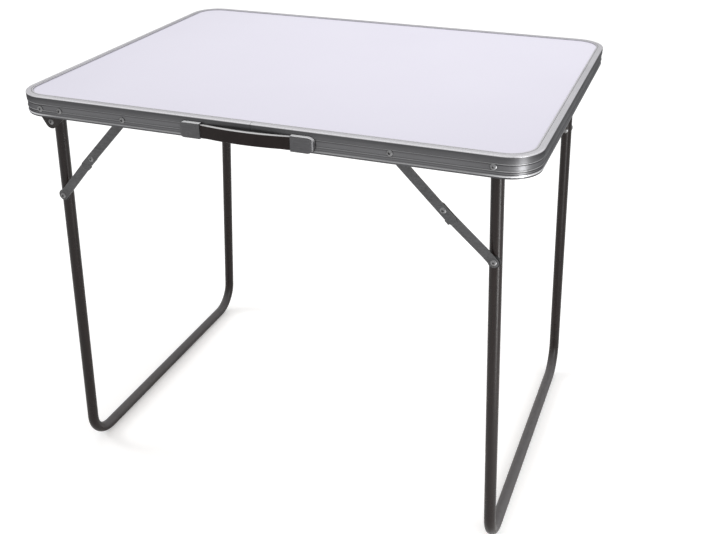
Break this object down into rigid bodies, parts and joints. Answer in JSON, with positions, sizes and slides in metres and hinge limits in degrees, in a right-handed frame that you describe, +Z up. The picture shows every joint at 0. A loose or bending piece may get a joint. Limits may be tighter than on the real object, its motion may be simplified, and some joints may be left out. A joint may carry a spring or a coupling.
{
  "type": "folding table",
  "caption": "Small portable folding table: framed board with a carry handle on the long edge, two U-shaped tube legs folding under it, each held by hinged two-link stays.",
  "frame": {"origin": "on the floor, under the middle of the overall box", "axes": "+X along the table's length, -Y towards the carry handle, +Z up"},
  "size_m": [0.8, 0.6138, 0.68],
  "materials": {
    "laminate": "smooth pale laminate with a light sheen",
    "fibreboard": "pressed wood fibre, unpainted",
    "rim_aluminium": "satin extruded aluminium",
    "plate_aluminium": "mill finish",
    "tube_paint": "gloss dark brown enamel on steel tube",
    "bracket_paint": "dark enamel on pressed steel",
    "link_steel": "dull zinc plate",
    "rivet_steel": "bright zinc plate",
    "black_nylon": "moulded, matt",
    "handle_strap": "soft moulded strap, satin",
    "handle_cap": "metallic grey moulding"
  },
  "bodies": {
    "table_top": {"board_core": "fibreboard", "top_laminate": "laminate", "rim_frame": "rim_aluminium", "rim_splice_plate": "plate_aluminium", "handle_strap": "handle_strap", "handle_left_cap": "handle_cap", "handle_right_cap": "handle_cap", "handle_screws": "rivet_steel", "left_front_bracket": "bracket_paint", "left_back_bracket": "bracket_paint", "bracket_rivets": "rivet_steel", "left_front_pivot_pin": "rivet_steel", "left_back_pivot_pin": "rivet_steel", "right_front_pivot_pin": "rivet_steel", "right_back_pivot_pin": "rivet_steel", "left_pivot_sleeves": "black_nylon", "right_pivot_sleeves": "black_nylon", "stay_rim_rivets": "rivet_steel", "stay_rim_washers": "black_nylon"},
    "left_leg": {"left_leg_frame": "tube_paint", "left_leg_plugs": "black_nylon", "left_stay_leg_rivets": "rivet_steel", "left_stay_leg_washers": "black_nylon"},
    "right_leg": {"right_leg_frame": "tube_paint", "right_leg_plugs": "black_nylon", "right_stay_leg_rivets": "rivet_steel", "right_stay_leg_washers": "black_nylon"},
    "left_front_upper_stay": {"left_front_upper_link": "link_steel", "left_front_knee_rivet": "rivet_steel"},
    "left_front_lower_stay": {"left_front_lower_link": "link_steel", "left_front_knee_tail": "rivet_steel"},
    "left_back_upper_stay": {"left_back_upper_link": "link_steel", "left_back_knee_rivet": "rivet_steel"},
    "left_back_lower_stay": {"left_back_lower_link": "link_steel", "left_back_knee_tail": "rivet_steel"},
    "right_front_upper_stay": {"right_front_upper_link": "link_steel", "right_front_knee_rivet": "rivet_steel"},
    "right_front_lower_stay": {"right_front_lower_link": "link_steel", "right_front_knee_tail": "rivet_steel"},
    "right_back_upper_stay": {"right_back_upper_link": "link_steel", "right_back_knee_rivet": "rivet_steel"},
    "right_back_lower_stay": {"right_back_lower_link": "link_steel", "right_back_knee_tail": "rivet_steel"}
  },
  "joints": [
    {"name": "left_leg_fold", "type": "hinge", "parent": "table_top", "child": "left_leg", "pos_m": [-0.344, 0.0055, 0.638], "axis": [0, -1, 0], "range_deg": [0, 93.34]},
    {"name": "right_leg_fold", "type": "hinge", "parent": "table_top", "child": "right_leg", "pos_m": [0.344, 0.0055, 0.6635], "axis": [0, 1, 0], "range_deg": [0, 92.39]},
    {"name": "left_front_upper_stay_fold", "type": "hinge", "parent": "table_top", "child": "left_front_upper_stay", "pos_m": [-0.2085, -0.2887, 0.6595], "axis": [0, -1, 0], "range_deg": [0, 127.86]},
    {"name": "left_front_lower_stay_fold", "type": "hinge", "parent": "left_leg", "child": "left_front_lower_stay", "pos_m": [-0.35143, -0.27465, 0.51072], "axis": [0, -1, 0], "range_deg": [-133.54, 0]},
    {"name": "left_back_upper_stay_fold", "type": "hinge", "parent": "table_top", "child": "left_back_upper_stay", "pos_m": [-0.2085, 0.2997, 0.6595], "axis": [0, -1, 0], "range_deg": [0, 127.86]},
    {"name": "left_back_lower_stay_fold", "type": "hinge", "parent": "left_leg", "child": "left_back_lower_stay", "pos_m": [-0.35143, 0.28565, 0.51072], "axis": [0, -1, 0], "range_deg": [-133.54, 0]},
    {"name": "right_front_upper_stay_fold", "type": "hinge", "parent": "table_top", "child": "right_front_upper_stay", "pos_m": [0.2045, -0.2887, 0.6635], "axis": [0, 1, 0], "range_deg": [0, 135.33]},
    {"name": "right_front_lower_stay_fold", "type": "hinge", "parent": "right_leg", "child": "right_front_lower_stay", "pos_m": [0.35001, -0.27915, 0.51963], "axis": [0, 1, 0], "range_deg": [-137.08, 0]},
    {"name": "right_back_upper_stay_fold", "type": "hinge", "parent": "table_top", "child": "right_back_upper_stay", "pos_m": [0.2045, 0.2997, 0.6635], "axis": [0, 1, 0], "range_deg": [0, 135.33]},
    {"name": "right_back_lower_stay_fold", "type": "hinge", "parent": "right_leg", "child": "right_back_lower_stay", "pos_m": [0.35001, 0.29015, 0.51963], "axis": [0, 1, 0], "range_deg": [-137.08, 0]}
  ],
  "couplings": [
    {"joint": "left_front_upper_stay_fold", "follows": "left_leg_fold", "ratio": 1.3697},
    {"joint": "left_front_lower_stay_fold", "follows": "left_leg_fold", "ratio": -1.4305},
    {"joint": "left_back_upper_stay_fold", "follows": "left_leg_fold", "ratio": 1.3697},
    {"joint": "left_back_lower_stay_fold", "follows": "left_leg_fold", "ratio": -1.4305},
    {"joint": "right_front_upper_stay_fold", "follows": "right_leg_fold", "ratio": 1.4647},
    {"joint": "right_front_lower_stay_fold", "follows": "right_leg_fold", "ratio": -1.4836},
    {"joint": "right_back_upper_stay_fold", "follows": "right_leg_fold", "ratio": 1.4647},
    {"joint": "right_back_lower_stay_fold", "follows": "right_leg_fold", "ratio": -1.4836}
  ]
}
